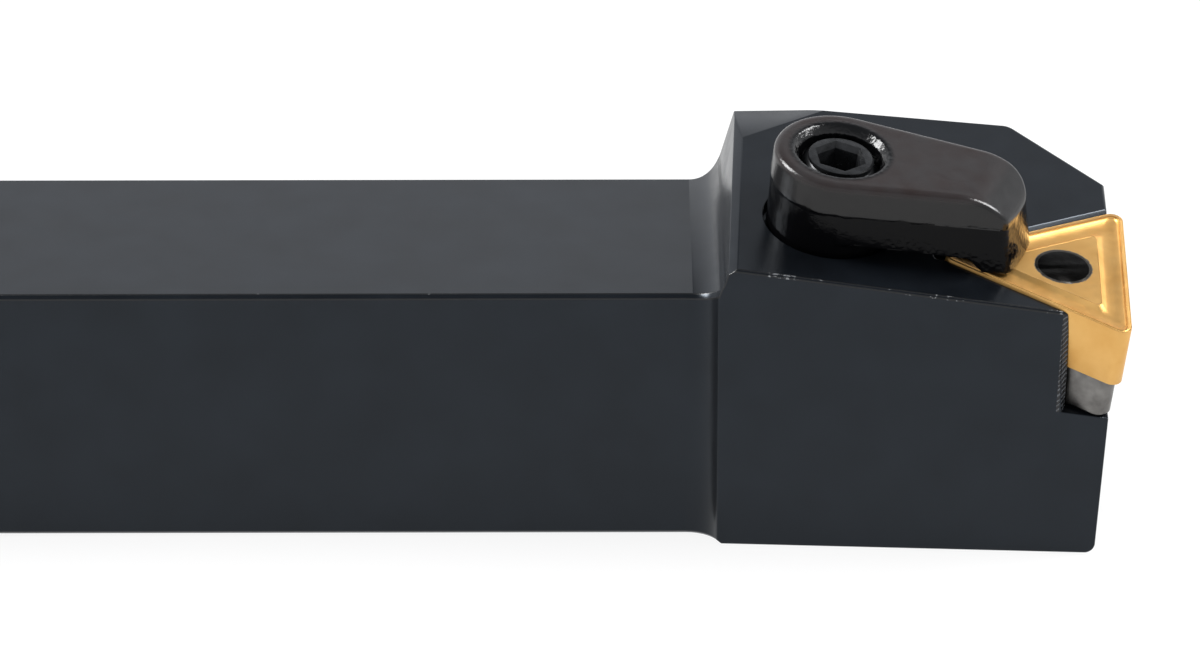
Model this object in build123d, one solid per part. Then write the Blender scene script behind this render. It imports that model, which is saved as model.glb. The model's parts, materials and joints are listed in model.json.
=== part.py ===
from build123d import *
from math import acos, cos, pi, radians, sin, sqrt, tan
import os

# Turning tool holder: a square shank with an offset head that clamps a three-cornered insert.
#
# Millimetres. X runs along the shank towards the cutting edge, Y across it and Z up. The origin is
# the middle of the shank's bottom face. The tip stands out past the shank's -Y side, the near side.
#
# Insert, shim, clamp and the head's top share one tilted frame, the rake frame, which hangs from
# the cutting tip: its x runs towards the end of the tool and its z is square to the insert.

# Whole tool
OVERALL_LENGTH = 125.0  # shank's rear face to cutting tip
SHANK_WIDTH = 20.0
SHANK_HEIGHT = 20.0
SHANK_EDGE = 0.3  # chamfer along the shank's four long edges
HEAD_REACH = 31.6  # end of the shank proper to cutting tip
TIP_OFFSET = 24.9  # shank's far side to cutting tip
TIP_DROP = 0.5  # shank's top down to the cutting tip

# Rake frame
RAKE_ALONG = 6.4  # degrees down towards the end of the tool
RAKE_ACROSS = 8.4  # degrees down towards the near side
EDGE_TURN = -1.4  # degrees from square of the cutting edge, in the rake frame

# Insert
INSCRIBED_CIRCLE = 9.525
INSERT_THICKNESS = 4.76
NOSE_RADIUS = 0.8
INSERT_BORE = 3.81
BORE_CHAMFER = 0.22
LAND_WIDTH = 0.3
GROOVE_SLOPE = 0.75  # width of the slope from land to groove floor
GROOVE_FLOOR = 0.6
GROOVE_RISE = 0.4  # width of the slope from groove floor to centre plateau
GROOVE_DEPTH = 0.28
GROOVE_CORNER = 0.3

# Shim under the insert
SHIM_THICKNESS = 3.5
SHIM_SETBACK = 0.3  # how far the shim's sides lie inside the insert's
SHIM_CORNER = 1.0
SHIM_CHAMFER = 0.25

# Head
HEAD_DROP = 0.2  # insert's top to the head's tilted top
CORNER_FLAT = 0.92  # depth of the level cut across the tilted top's highest corner
NECK_RADIUS = 2.5
NECK_LENGTH = 1.6  # end of the shank proper to the rear wall of the head
REAR_WALL_LEAN = 16.0  # degrees forward, above the shank
NEAR_STEP = 1.46  # how far the head stands out from the shank at the neck
FAR_STEP = 0.6
NEAR_FLARE = 3.13  # degrees that the near side opens towards the end
FAR_FLARE = 1.6
END_SETBACK = 2.0  # cutting tip to the end face, at the bottom
END_RELIEF = 3.3  # degrees
CORNER_CUT = 6.7  # far end corner, along X and along Y
CORNER_ROUND = 1.2
TOP_EDGE = 0.15  # chamfer round the head's tilted top
REAR_EDGE = 0.5  # and along its rear
BOTTOM_ROUND = 0.8  # end face into the bottom

# Pocket
POCKET_GAP = 0.03  # insert to pocket walls
CORNER_RELIEF = 0.5  # radius of the drilled corner of the pocket
WALL_CHAMFER = 0.8  # top edge of the far wall
BEVEL_BACK = 4.9  # cutting tip back to the bevel that ends the near wall
BEVEL_TOP_ANGLE = 4.0  # degrees of the bevel off the near side, at the top
BEVEL_FLOOR_ANGLE = 62.0  # and at the pocket's floor

# Lock pin
PIN_THREAD = 4.0
PIN_REACH = 6.5  # thread below the pocket floor
PIN_WAIST = 3.5  # plain part between thread and collar
PIN_COLLAR = 5.4
COLLAR_HEIGHT = 1.1
PIN_HEAD = 3.2
PIN_OFFSET = 0.25  # eccentricity of the head, which draws the insert home
PIN_BELOW_TOP = 1.75
PIN_KEY = 1.6  # across flats
PIN_KEY_DEPTH = 1.8
PIN_EDGE = 0.2

# Clamp, in its own frame: the origin is on the head's top, x is parallel to the rake frame's x
CLAMP_BACK = 17.15  # insert's centre back to the clamp's axis
CLAMP_SIDE = 3.7  # insert's centre across to the clamp's axis
CLAMP_HEIGHT = 6.2  # head's top to the clamp's flat top
CLAMP_RADIUS = 4.95
PARTING_HEIGHT = 3.8  # forging's parting line over the head's top
BOSS_DRAFT = 2.0  # degrees that the boss narrows below the parting line
BOSS_SINK = 1.2  # depth of the round seat in the head's top
BOSS_GAP = 0.08
FAR_TAPER = 16.3  # degrees that the finger's far side turns in
NEAR_SPREAD = 3.0  # degrees that its near side turns out, at the bottom
NOSE_TURN = -20.0  # degrees from the clamp's x to the way the nose faces
NOSE_REACH = 14.4  # clamp's axis to the nose's foot, along that way
NOSE_BULGE = 0.3
NOSE_BAND = 0.15  # upright part of the nose's end over the parting line
ROUND_SWEEP = 57.0  # degrees that the top rounds over
NOSE_STEEPNESS = 77.0  # degrees of the nose's end from the clamp's top plane
NEAR_CORNER = 0.9
FAR_CORNER = 2.2
ARCH_HEIGHT = 1.15  # head's top to the finger's underside
PAD_LENGTH = 2.0  # of the nose that bears on the insert
ARCH_SLOPE = 50.0  # degrees from upright of the arch's end at the pad
CLAMP_EDGE = 0.55
DISH_DIAMETER = 7.1
DISH_DEPTH = 0.55
REST_GAP = 0.01  # between pressing faces of pieces that part

# Clamp screw, left-hand above and right-hand below
SCREW_THREAD = 6.0
SCREW_LENGTH = 16.0
SCREW_BELOW_TOP = 0.5
SCREW_POINT = 4.7  # diameter of the ends
POINT_LENGTH = 1.0  # over which they taper to the thread
SCREW_WAIST = 4.6
WAIST_LENGTH = 1.8
WAIST_BELOW_TOP = 6.4  # clamp's top to the waist
WAIST_EDGE = 0.4
SCREW_KEY = 3.0
SCREW_KEY_DEPTH = 3.0
SCREW_KEY_TURN = 8.0  # degrees

THREAD_GAP = 0.05  # radial, thread to tapped hole
TAP_RUNOUT = 1.5  # tapped hole past the end of what screws into it
KEY_MOUTH = 0.15  # chamfer round the mouth of a key's socket
KEY_POINT = 0.05  # radius left at the point of a socket's drilled end
TRIANGLE_ANGLE = 60.0

# Places that follow from the sizes above
reach_past = 2 * HEAD_REACH  # longer than the head, for cutting past it
shank_length = OVERALL_LENGTH - HEAD_REACH
neck_x = shank_length / 2
rear_x = neck_x - shank_length
tip_x = neck_x + HEAD_REACH
far_y = SHANK_WIDTH / 2
near_y = far_y - SHANK_WIDTH
tip_y = far_y - TIP_OFFSET
tip_height = SHANK_HEIGHT - TIP_DROP
wall_x = neck_x + NECK_LENGTH
end_x = tip_x - END_SETBACK
corner_cut_x = end_x + SHANK_HEIGHT * tan(radians(END_RELIEF)) - CORNER_CUT
corner_cut_y = far_y + FAR_STEP + (corner_cut_x - wall_x) * tan(radians(FAR_FLARE))

insert_radius = INSCRIBED_CIRCLE / 2
nose_inset = NOSE_RADIUS * tan(radians(TRIANGLE_ANGLE))
nose_local = Vector(
    insert_radius - NOSE_RADIUS,
    nose_inset - insert_radius * tan(radians(TRIANGLE_ANGLE)),
    0,
)
pocket_depth = INSERT_THICKNESS + SHIM_THICKNESS
pocket_apex = -2 * (insert_radius + POCKET_GAP)
parting_reach = NOSE_REACH - PARTING_HEIGHT / tan(radians(NOSE_STEEPNESS))

rake_normal = Vector(tan(radians(RAKE_ALONG)), -tan(radians(RAKE_ACROSS)), 1).normalized()
rake_at_origin = Plane(origin=(0, 0, 0), x_dir=(1, 0, 0), z_dir=rake_normal)
nose_centre = Vector(tip_x - NOSE_RADIUS, tip_y + NOSE_RADIUS, tip_height)
nose_in_rake = nose_local.rotate(Axis.Z, EDGE_TURN)
insert_centre = nose_centre - rake_at_origin.from_local_coords(nose_in_rake)
rake_frame = Plane(origin=insert_centre, x_dir=rake_at_origin.x_dir, z_dir=rake_normal)
insert_frame = Plane(rake_frame.location * Rot(0, 0, EDGE_TURN))
clamp_frame = Plane(
    origin=rake_frame.from_local_coords((-CLAMP_BACK, CLAMP_SIDE, -HEAD_DROP)),
    x_dir=rake_frame.x_dir,
    z_dir=rake_normal,
)
rear_corner = Vector(wall_x, far_y + FAR_STEP, 0)
rear_rise = (clamp_frame.origin - rear_corner).dot(rake_normal) / rake_normal.Z
head_ceiling = rear_rise - CORNER_FLAT


def cylinder(radius, bottom, top):
    """A round bar on the Z axis between two heights."""
    return cone(radius, radius, bottom, top)


def cone(bottom_radius, top_radius, bottom, top):
    """A straight or tapered round bar on the Z axis between two heights."""
    standing = (Align.CENTER, Align.CENTER, Align.MIN)
    height = top - bottom
    if bottom_radius == top_radius:
        return Pos(0, 0, bottom) * Cylinder(bottom_radius, height, align=standing)
    return Pos(0, 0, bottom) * Cone(bottom_radius, top_radius, height, align=standing)


def triangle(inset, corner, height):
    """A level triangle whose sides lie inside the insert's, with rounded corners."""
    reach = 2 * (insert_radius - inset)
    points = [(reach * cos(a), reach * sin(a)) for a in (pi, -pi / 3, pi / 3)]
    face = make_face(Polyline(*points, close=True))
    return Pos(0, 0, height) * fillet(face.vertices(), corner)


def key_socket(across_flats, top, depth, turn=0.0):
    """The space that a hexagon key fills, with a chamfered mouth and the drill's cone below."""
    radius = across_flats / 2
    floor = top - depth
    flats = Pos(0, 0, floor) * RegularPolygon(radius, 6, major_radius=False, rotation=turn)
    corner_radius = across_flats / sqrt(3)
    mouth = cone(corner_radius - KEY_MOUTH, corner_radius + KEY_MOUTH, top - 2 * KEY_MOUTH, top)
    return extrude(flats, depth) + mouth + cone(KEY_POINT, radius, floor - radius / 2, floor)


def chip_groove():
    """What the chip groove takes away from the insert's top."""
    slope_end = LAND_WIDTH + GROOVE_SLOPE
    rise_start = slope_end + GROOVE_FLOOR
    mouth = triangle(LAND_WIDTH, NOSE_RADIUS - LAND_WIDTH, 0)
    floor = triangle(slope_end, GROOVE_CORNER, -GROOVE_DEPTH)
    island_foot = triangle(rise_start, GROOVE_CORNER, -GROOVE_DEPTH)
    island_top = triangle(rise_start + GROOVE_RISE, GROOVE_CORNER, 0)
    return loft([mouth, floor]) - loft([island_foot, island_top])


def make_insert():
    """A double-sided insert with chip grooves and a bore, the same from above and below."""
    bottom = -INSERT_THICKNESS
    radius = INSERT_BORE / 2
    body = extrude(triangle(0, NOSE_RADIUS, bottom), INSERT_THICKNESS)
    half = chip_groove() + cone(radius, radius + BORE_CHAMFER, -BORE_CHAMFER, 0)
    other_half = Pos(0, 0, bottom) * Rot(180, 0, 0) * half
    return insert_frame * (body - half - other_half - cylinder(radius, bottom, 0))


def make_shim():
    """The flat carbide seat, with a countersunk bore for the lock pin's collar."""
    top = -INSERT_THICKNESS
    bottom = -pocket_depth
    body = extrude(triangle(SHIM_SETBACK, SHIM_CORNER, bottom), SHIM_THICKNESS)
    body = chamfer(body.faces().sort_by(Axis.Z)[0].edges(), SHIM_CHAMFER)
    collar_space = PIN_COLLAR / 2 + THREAD_GAP
    waist_space = PIN_WAIST / 2 + THREAD_GAP
    body -= cylinder(waist_space, bottom, top)
    body -= cone(waist_space, collar_space, top - COLLAR_HEIGHT - THREAD_GAP, top)
    return insert_frame * body


def make_lock_pin():
    """Threaded below, with a collar that holds the shim and an eccentric head in the insert."""
    collar_top = -INSERT_THICKNESS - THREAD_GAP
    collar_bottom = collar_top - COLLAR_HEIGHT
    thread_top = -pocket_depth - PIN_EDGE
    thread = cylinder(PIN_THREAD / 2, -pocket_depth - PIN_REACH, thread_top)
    thread = chamfer(thread.edges().filter_by(GeomType.CIRCLE), PIN_EDGE)
    waist = cylinder(PIN_WAIST / 2, thread_top - PIN_EDGE, collar_bottom + PIN_EDGE)
    collar = cone(PIN_WAIST / 2, PIN_COLLAR / 2, collar_bottom, collar_top)
    head = cylinder(PIN_HEAD / 2, collar_top - PIN_EDGE, -PIN_BELOW_TOP)
    head = chamfer(head.faces().sort_by(Axis.Z)[-1].edges(), PIN_EDGE)
    off_centre = Pos(-PIN_OFFSET, 0, 0)
    socket = key_socket(PIN_KEY, -PIN_BELOW_TOP, PIN_KEY_DEPTH)
    return insert_frame * (thread + waist + collar + off_centre * head - off_centre * socket)


def cove(step, side):
    """The round from a shank side out to the head, seen from above."""
    swing = acos(1 - step / NECK_RADIUS)
    start_x = wall_x - NECK_RADIUS * sin(swing)
    points = [
        (
            start_x + NECK_RADIUS * sin(a),
            side * (SHANK_WIDTH / 2 + NECK_RADIUS * (1 - cos(a))),
        )
        for a in (0, swing / 2, swing)
    ]
    return ThreePointArc(*points)


def plan_outline():
    """Shank and head from above, without the end face."""
    near = cove(NEAR_STEP, -1)
    far = cove(FAR_STEP, 1)
    past_x = corner_cut_x + 2 * CORNER_CUT
    near_end = (past_x, (near @ 1).Y - (past_x - wall_x) * tan(radians(NEAR_FLARE)))
    cut_start = (corner_cut_x, corner_cut_y)
    cut_end = (past_x, corner_cut_y - 2 * CORNER_CUT)
    head = Polyline(near @ 1, near_end, cut_end, cut_start, far @ 1)
    shank = Polyline(near @ 0, (rear_x, near_y), (rear_x, far_y), far @ 0)
    face = make_face([near, head, far, shank])
    return fillet(face.vertices().sort_by_distance(cut_start)[0], CORNER_ROUND)


def side_outline():
    """Shank and head in X and Z."""
    lean = tan(radians(REAR_WALL_LEAN))
    relief = tan(radians(END_RELIEF))
    foot = (wall_x, SHANK_HEIGHT)
    points = [
        (rear_x, 0),
        (end_x, 0),
        (end_x + head_ceiling * relief, head_ceiling),
        (wall_x + (head_ceiling - SHANK_HEIGHT) * lean, head_ceiling),
        foot,
        (rear_x, SHANK_HEIGHT),
    ]
    face = make_face(Polyline(*points, close=True))
    face = fillet(face.vertices().sort_by_distance(foot)[0], NECK_RADIUS)
    return fillet(face.vertices().sort_by_distance((end_x, 0))[0], BOTTOM_ROUND)


def far_wall_chamfer():
    """The bevelled top edge of the pocket's far wall."""
    half_angle = radians(TRIANGLE_ANGLE / 2)
    across_wall = Plane(
        origin=(pocket_apex, 0, -HEAD_DROP - WALL_CHAMFER),
        x_dir=(-sin(half_angle), cos(half_angle), 0),
        z_dir=(cos(half_angle), sin(half_angle), 0),
    )
    width = 2 * WALL_CHAMFER
    section = make_face(Polyline((0, 0), (width, width), (0, width), close=True))
    return extrude(across_wall * section, reach_past)


def over_pocket_floor():
    """Everything over the plane of the pocket's floor, near the head."""
    return Pos(0, 0, reach_past / 2 - pocket_depth) * Box(reach_past, reach_past, reach_past)


def near_wall_bevel():
    """The space past the near wall's end: a bevel that steepens from the top to the floor."""
    start_x = tip_x - BEVEL_BACK
    start_y = near_y - NEAR_STEP - (start_x - wall_x) * tan(radians(NEAR_FLARE))
    past = Vector(HEAD_REACH, 0, 0)
    sections = []
    for height, angle in (
        (tip_height - pocket_depth, BEVEL_FLOOR_ANGLE),
        (tip_height, BEVEL_TOP_ANGLE),
    ):
        way = Vector(cos(radians(angle)), sin(radians(angle)), 0)
        corner = Vector(start_x, start_y, height)
        inner = corner + way * BEVEL_BACK
        outer = corner - way * BEVEL_BACK
        sections.append(make_face(Polyline(inner, outer, outer + past, inner + past, close=True)))
    low, high = sections
    return loft([low, high], ruled=True) + extrude(high, pocket_depth) + extrude(low, -pocket_depth)


def pocket():
    """The space for insert and shim: a wedge that opens to the end of the tool."""
    spread = (reach_past - pocket_apex) * tan(radians(TRIANGLE_ANGLE / 2))
    corners = [(pocket_apex, 0), (reach_past, -spread), (reach_past, spread)]
    wedge = make_face(Polyline(*corners, close=True))
    space = extrude(Pos(0, 0, -pocket_depth) * wedge, reach_past) + far_wall_chamfer()
    relief = cylinder(CORNER_RELIEF, -pocket_depth, reach_past)
    space += Pos(pocket_apex + CORNER_RELIEF, 0, 0) * relief
    return insert_frame * space + (near_wall_bevel() & insert_frame * over_pocket_floor())


def make_holder_body():
    """Shank and head in one piece."""
    side = Plane.XZ * side_outline()
    body = extrude(plan_outline(), head_ceiling) & extrude(side, reach_past, both=True)
    body -= clamp_frame * Pos(0, 0, reach_past / 2) * Box(reach_past, reach_past, reach_past)
    long_edges = body.edges().filter_by(Axis.X).filter_by(lambda e: e.length > shank_length / 2)
    body = chamfer(long_edges, SHANK_EDGE)
    rear, *others = head_top_edges(body)
    body = chamfer(rear, REAR_EDGE)
    rear, *others = head_top_edges(body)
    body = chamfer(others, TOP_EDGE)
    body -= pocket()
    seat = cylinder(CLAMP_RADIUS + BOSS_GAP, -BOSS_SINK, CLAMP_HEIGHT)
    screw_bottom = CLAMP_HEIGHT - SCREW_BELOW_TOP - SCREW_LENGTH
    tap = cylinder(SCREW_THREAD / 2 + THREAD_GAP, screw_bottom - TAP_RUNOUT, CLAMP_HEIGHT)
    pin_bottom = -pocket_depth - PIN_REACH
    pin_tap = cylinder(PIN_THREAD / 2 + THREAD_GAP, pin_bottom - TAP_RUNOUT, -INSERT_THICKNESS)
    return body - clamp_frame * (seat + tap) - insert_frame * pin_tap


def head_top_edges(body):
    """The edges of the head's tilted top below its level cut, from the rear forwards."""
    top = body.faces().sort_by_distance(clamp_frame.origin)[0]
    return top.edges().filter_by(lambda e: (e @ 0.5).Z < head_ceiling - TOP_EDGE).sort_by(Axis.X)


def finger_outline(spread, reach, height):
    """The clamp's finger from above, its near side turned out and its nose at a given reach."""
    swing = radians(90 - FAR_TAPER)
    far_foot = Vector(cos(swing), sin(swing)) * CLAMP_RADIUS
    near_foot = Vector(0, -CLAMP_RADIUS)
    facing = Vector(1, 0).rotate(Axis.Z, NOSE_TURN)

    def nose_end(foot, turn):
        way = Vector(1, 0).rotate(Axis.Z, turn)
        return foot + way * ((reach - NOSE_BULGE - foot.dot(facing)) / way.dot(facing))

    near_end = nose_end(near_foot, -spread)
    far_end = nose_end(far_foot, -FAR_TAPER)
    middle = (near_end + far_end) * 0.5 + facing * NOSE_BULGE
    sides = Polyline(far_end, far_foot, (0, 0), near_foot, near_end)
    face = make_face([ThreePointArc(near_end, middle, far_end), sides])
    face = fillet(face.vertices().sort_by_distance(far_end)[0], FAR_CORNER)
    face = fillet(face.vertices().sort_by_distance(near_end)[0], NEAR_CORNER)
    return Pos(0, 0, height) * face


def nose_top():
    """The space that the finger's rounded top leaves at the nose, across the way it faces."""
    sweep = radians(ROUND_SWEEP)
    radius = (CLAMP_HEIGHT - PARTING_HEIGHT - NOSE_BAND) / (1 - cos(sweep))
    start_x = parting_reach - radius * sin(sweep)
    arc = [
        (start_x + radius * sin(a), CLAMP_HEIGHT - radius * (1 - cos(a)))
        for a in (0, sweep / 2, sweep)
    ]
    over = ThreePointArc(*arc)
    corner = (start_x + reach_past, CLAMP_HEIGHT)
    low_corner = (start_x + reach_past, (over @ 1).Y)
    section = make_face([over, Polyline(over @ 1, low_corner, corner, over @ 0)])
    return Rot(0, 0, NOSE_TURN) * extrude(Plane.XZ * section, reach_past, both=True)


def arch():
    """The space under the finger, between the boss and the pad of the nose."""
    pad_x = NOSE_REACH - PAD_LENGTH
    slope_x = pad_x - ARCH_HEIGHT * tan(radians(ARCH_SLOPE))
    points = [(pad_x, 0), (slope_x, ARCH_HEIGHT), (-NOSE_REACH, ARCH_HEIGHT), (-NOSE_REACH, 0)]
    section = make_face(Polyline(*points, close=True))
    return Rot(0, 0, NOSE_TURN) * extrude(Plane.XZ * section, reach_past, both=True)


def make_clamp():
    """The forged clamp: a round boss, a finger over the insert, and a tapped bore."""
    foot = HEAD_DROP + REST_GAP
    boss_bottom = REST_GAP - BOSS_SINK
    draft = (PARTING_HEIGHT - boss_bottom) * tan(radians(BOSS_DRAFT))
    boss = cone(CLAMP_RADIUS - draft, CLAMP_RADIUS, boss_bottom, PARTING_HEIGHT)
    upper_outline = finger_outline(0, parting_reach, PARTING_HEIGHT)
    lower = loft([finger_outline(NEAR_SPREAD, NOSE_REACH, foot), upper_outline], ruled=True)
    lower -= arch()
    upper = extrude(upper_outline, CLAMP_HEIGHT - PARTING_HEIGHT) - nose_top()
    upper += cylinder(CLAMP_RADIUS, PARTING_HEIGHT, CLAMP_HEIGHT)
    flat = upper.faces().sort_by(Axis.Z)[-1]
    upper = fillet(flat.edges(), CLAMP_EDGE)
    thread_space = SCREW_THREAD / 2 + THREAD_GAP
    bore = cylinder(thread_space, boss_bottom, CLAMP_HEIGHT)
    dish = cone(thread_space, DISH_DIAMETER / 2, CLAMP_HEIGHT - DISH_DEPTH, CLAMP_HEIGHT)
    return clamp_frame * (boss + lower + upper - bore - dish)


def make_clamp_screw():
    """Double-ended: left-hand thread in the clamp, right-hand thread in the head."""
    top = CLAMP_HEIGHT - SCREW_BELOW_TOP
    bottom = top - SCREW_LENGTH
    waist_top = CLAMP_HEIGHT - WAIST_BELOW_TOP
    waist_bottom = waist_top - WAIST_LENGTH
    upper = cylinder(SCREW_THREAD / 2, waist_top, top - POINT_LENGTH)
    lower = cylinder(SCREW_THREAD / 2, bottom + POINT_LENGTH, waist_bottom)
    upper += cone(SCREW_THREAD / 2, SCREW_POINT / 2, top - POINT_LENGTH, top)
    lower += cone(SCREW_POINT / 2, SCREW_THREAD / 2, bottom, bottom + POINT_LENGTH)
    upper = chamfer(upper.edges().group_by(Axis.Z)[0], WAIST_EDGE)
    lower = chamfer(lower.edges().group_by(Axis.Z)[-1], WAIST_EDGE)
    waist = cylinder(SCREW_WAIST / 2, waist_bottom - WAIST_EDGE, waist_top + WAIST_EDGE)
    upper_socket = key_socket(SCREW_KEY, top, SCREW_KEY_DEPTH, SCREW_KEY_TURN)
    lower_socket = Rot(180, 0, 0) * key_socket(SCREW_KEY, -bottom, SCREW_KEY_DEPTH, SCREW_KEY_TURN)
    return clamp_frame * (upper + waist + lower - upper_socket - lower_socket)


PIECES = {
    "holder_body": make_holder_body,
    "shim": make_shim,
    "lock_pin": make_lock_pin,
    "insert": make_insert,
    "clamp": make_clamp,
    "clamp_screw": make_clamp_screw,
}

os.makedirs("parts", exist_ok=True)
for name, make in PIECES.items():
    piece = make()
    piece.label = name
    export_step(piece, f"parts/{name}.step")
    print(name, round(piece.volume, 2))
print("clamp axis", clamp_frame.origin, clamp_frame.z_dir)
print("pin axis", insert_frame.origin, insert_frame.z_dir)
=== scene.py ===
"""Looks of a turning tool holder with a top clamp and a triangular insert.

Every object is in metres in the tool's own frame: X along the shank towards the cutting edge,
Y across it and Z up, with the origin in the middle of the shank's bottom face. Sizes are given
in millimetres and turned to metres where a piece is made.
"""

import json
import logging
import math
from dataclasses import dataclass, field
from enum import Enum, IntEnum
from typing import Callable

import bmesh
import bpy
from mathutils import Euler, Matrix, Vector, noise

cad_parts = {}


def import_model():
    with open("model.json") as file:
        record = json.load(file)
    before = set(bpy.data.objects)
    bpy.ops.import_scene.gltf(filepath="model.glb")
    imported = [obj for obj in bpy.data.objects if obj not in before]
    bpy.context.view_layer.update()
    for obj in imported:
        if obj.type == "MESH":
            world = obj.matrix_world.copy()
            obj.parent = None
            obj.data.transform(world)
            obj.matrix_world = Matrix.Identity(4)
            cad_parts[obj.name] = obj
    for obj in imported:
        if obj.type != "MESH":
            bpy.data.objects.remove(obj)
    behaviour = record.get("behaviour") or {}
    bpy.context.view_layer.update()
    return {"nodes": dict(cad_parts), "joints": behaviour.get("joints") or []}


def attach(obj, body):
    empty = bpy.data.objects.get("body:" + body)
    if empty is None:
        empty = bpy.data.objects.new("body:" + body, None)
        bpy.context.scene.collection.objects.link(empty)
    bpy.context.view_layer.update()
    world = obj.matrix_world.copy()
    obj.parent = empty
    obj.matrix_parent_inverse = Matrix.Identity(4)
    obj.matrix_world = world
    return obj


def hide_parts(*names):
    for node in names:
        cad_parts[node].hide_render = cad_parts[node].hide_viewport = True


MM = 0.001
WELD = 0.0005  # mm within which points are one
FLAT = 0.2  # degrees within which two faces are one
ALL_SMOOTH = 180.0  # degrees, past every edge's angle
FULL_TURN = 2 * math.pi
TRIANGLE_SIDES = 3
HEXAGON_SIDES = 6
INSERT_TURN = -1.4  # degrees of the insert about the pin's axis
NOISE_SPREAD = (0.3, 0.7)  # what most of a noise texture lies between
COLOURS = {"data_type": "RGBA"}
SMOOTH = {"interpolation_type": "SMOOTHSTEP"}
MIX_A, MIX_B, MIX_COLOUR = 6, 7, 2  # a mix node's colour inputs and output, by index
LOG = logging.getLogger("tool_holder")

Tree = bpy.types.NodeTree
Node = bpy.types.Node
Socket = bpy.types.NodeSocket
Edges = list[bmesh.types.BMEdge]


class Hand(Enum):
    """Which way a thread winds."""

    RIGHT = 1
    LEFT = -1


class BodySkin(IntEnum):
    """Which finish a face of the holder's body wears, in the order of its materials."""

    OXIDE = 0
    RUBBED_EDGE = 1
    MILLED = 2
    OILED_EDGE = 3
    CHAMFER = 4


class ClampSkin(IntEnum):
    """Which finish a face of the clamp wears, in the order of its materials."""

    SATIN = 0
    # faces below the parting line: they reflect less, and wear the black painted shade
    OILY = 1


def linear(hex_colour: str) -> tuple[float, float, float, float]:
    """Turns an sRGB hex colour into linear RGBA.

    Args:
        hex_colour: the colour as #rrggbb.

    Returns:
        The linear red, green, blue and an alpha of 1.
    """
    channels = [int(hex_colour[i : i + 2], 16) / 255 for i in (1, 3, 5)]
    low, slope, offset, power = 0.04045, 12.92, 0.055, 2.4
    red, green, blue = (
        c / slope if c <= low else ((c + offset) / (1 + offset)) ** power for c in channels
    )
    return red, green, blue, 1.0


def feed(tree: Tree, node: Node, inputs: dict[str | int, object]) -> None:
    """Gives inputs of a node their values or their links.

    Args:
        tree: the node tree.
        node: the node that is fed.
        inputs: a value or an output socket for each input, by its name or index.
    """
    for name, given in inputs.items():
        if isinstance(given, Socket):
            tree.links.new(given, node.inputs[name])
        else:
            node.inputs[name].default_value = given


def add_node(
    tree: Tree,
    kind: str,
    settings: dict[str, object] | None = None,
    inputs: dict[str | int, object] | None = None,
) -> Node:
    """Adds one node with its settings, values and links.

    Args:
        tree: the node tree to add to.
        kind: the node's type name.
        settings: properties of the node itself.
        inputs: a value or an output socket for each input, by its name or index.

    Returns:
        The new node.
    """
    node = tree.nodes.new(kind)
    for name, value in (settings or {}).items():
        setattr(node, name, value)
    feed(tree, node, inputs or {})
    return node


@dataclass(frozen=True)
class Place:
    """A tilted frame that a piece is made in, and that its patterns are centred on."""

    origin: Vector
    normal: Vector
    turn: float = 0.0

    @property
    def matrix(self) -> Matrix:
        """Gives the frame as a matrix.

        Returns:
            The matrix from millimetres in the frame to metres in the tool's frame.
        """
        across = self.normal.cross(Vector((1, 0, 0))).normalized()
        along = across.cross(self.normal)
        turned = Matrix((along, across, self.normal)).transposed().to_4x4()
        return (
            Matrix.Translation(self.origin)
            @ turned
            @ Matrix.Rotation(math.radians(self.turn), 4, "Z")
            @ Matrix.Scale(MM, 4)
        )

    def mapping(self, tree: Tree) -> Socket:
        """Gives object coordinates as millimetres in this frame.

        Args:
            tree: the material's node tree.

        Returns:
            The vector output of the mapping node.
        """
        place, turn, _ = self.matrix.decompose()
        coordinates = add_node(tree, "ShaderNodeTexCoord")
        mapped = add_node(
            tree, "ShaderNodeMapping", {"vector_type": "TEXTURE"},
            {
                "Vector": coordinates.outputs["Object"],
                "Location": place,
                "Rotation": turn.to_euler(),
                "Scale": (MM, MM, MM),
            },
        )
        return mapped.outputs["Vector"]


TOOL_PLACE = Place(Vector((0, 0, 0)), Vector((0, 0, 1)))


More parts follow.
